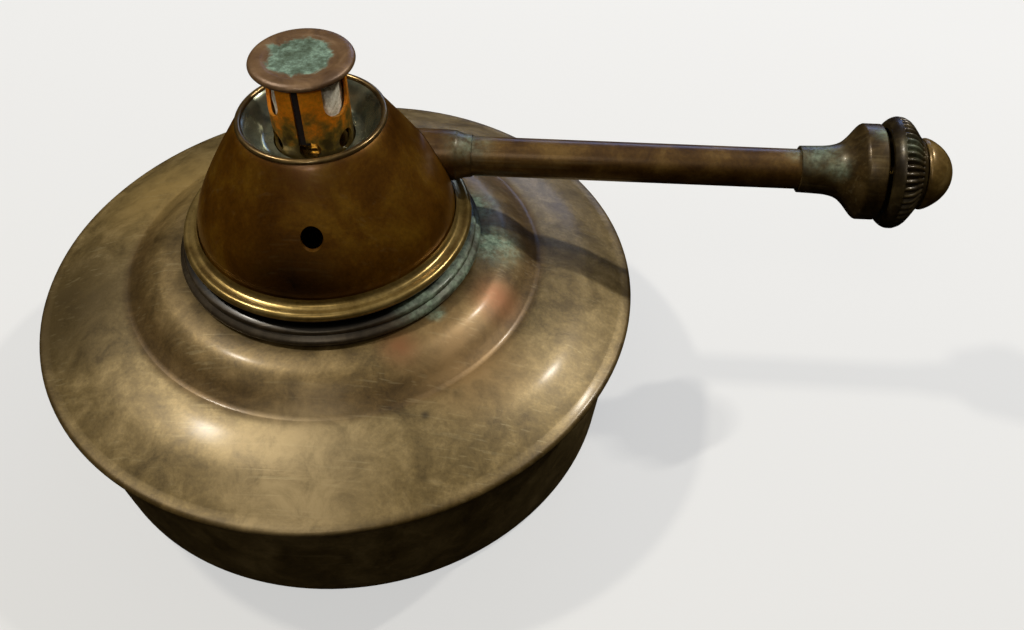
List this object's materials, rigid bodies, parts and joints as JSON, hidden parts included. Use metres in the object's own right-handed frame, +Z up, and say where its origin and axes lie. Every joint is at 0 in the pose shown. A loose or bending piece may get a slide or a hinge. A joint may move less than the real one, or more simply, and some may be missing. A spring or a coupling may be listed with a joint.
{
  "type": "alcohol spirit stove",
  "caption": "Round brass spirit burner with a domed screw-on burner head, capped flame barrel and a long side handle with a fluted regulator knob.",
  "frame": {"origin": "centre of the font's flat base, on the face it stands on", "axes": "+Z up along the burner's axis, +X parallel to the handle, from the burner towards the knob"},
  "size_m": [0.1892, 0.127, 0.0894],
  "materials": {
    "font_brass": "aged, low gloss",
    "dome_brass": "dark aged, satin",
    "dark_brass": "dark aged",
    "bright_brass": "worn bright",
    "copper": "heat coloured",
    "verdigris_cap": "verdigris over brass",
    "mineral_fibre": "pale fibre",
    "leather": "oiled",
    "graphite_packing": "graphite soaked",
    "cotton": "undyed rope"
  },
  "bodies": {
    "font": {"reservoir_pan": "font_brass", "reservoir_cover": "font_brass", "neck_collar": "dark_brass"},
    "seal": {"neck_gasket": "leather"},
    "wick_unit": {"wick_tube": "bright_brass", "wick": "cotton"},
    "burner": {"burner_base": "bright_brass", "burner_dome": "dome_brass", "vapour_chamber": "bright_brass", "jet_nipple": "bright_brass", "flame_cup": "bright_brass", "burner_barrel": "copper", "barrel_diffuser": "mineral_fibre", "handle_collar": "dark_brass", "handle_tube": "dark_brass", "spindle_bush": "bright_brass", "gland_housing": "dark_brass", "gland_packing": "graphite_packing", "gland_nut": "bright_brass"},
    "cap": {"burner_cap": "verdigris_cap"},
    "knob": {"wick_spindle": "bright_brass", "control_knob": "dark_brass", "knob_nut": "dark_brass"}
  },
  "joints": [
    {"name": "thread_rise", "type": "slide", "parent": "font", "child": "seal", "axis": [0, 0, 1], "range_m": [0, 0.0033]},
    {"name": "burner_lift", "type": "slide", "parent": "seal", "child": "wick_unit", "axis": [0, 0, 1], "range_m": [0, 0.055]},
    {"name": "burner_turn", "type": "hinge", "parent": "wick_unit", "child": "burner", "pos_m": [0, 0, 0.0506], "axis": [0, 0, 1], "range_deg": [0, 720]},
    {"name": "cap_lift", "type": "slide", "parent": "burner", "child": "cap", "axis": [0, 0, 1], "range_m": [0, 0.02]},
    {"name": "knob_turn", "type": "hinge", "parent": "burner", "child": "knob", "pos_m": [0.11, 0.0122, 0.0584], "axis": [1, 0, 0], "range_deg": [0, 360]}
  ],
  "couplings": [
    {"joint": "thread_rise", "follows": "burner_turn", "m_per_rad": 0.00025465}
  ]
}
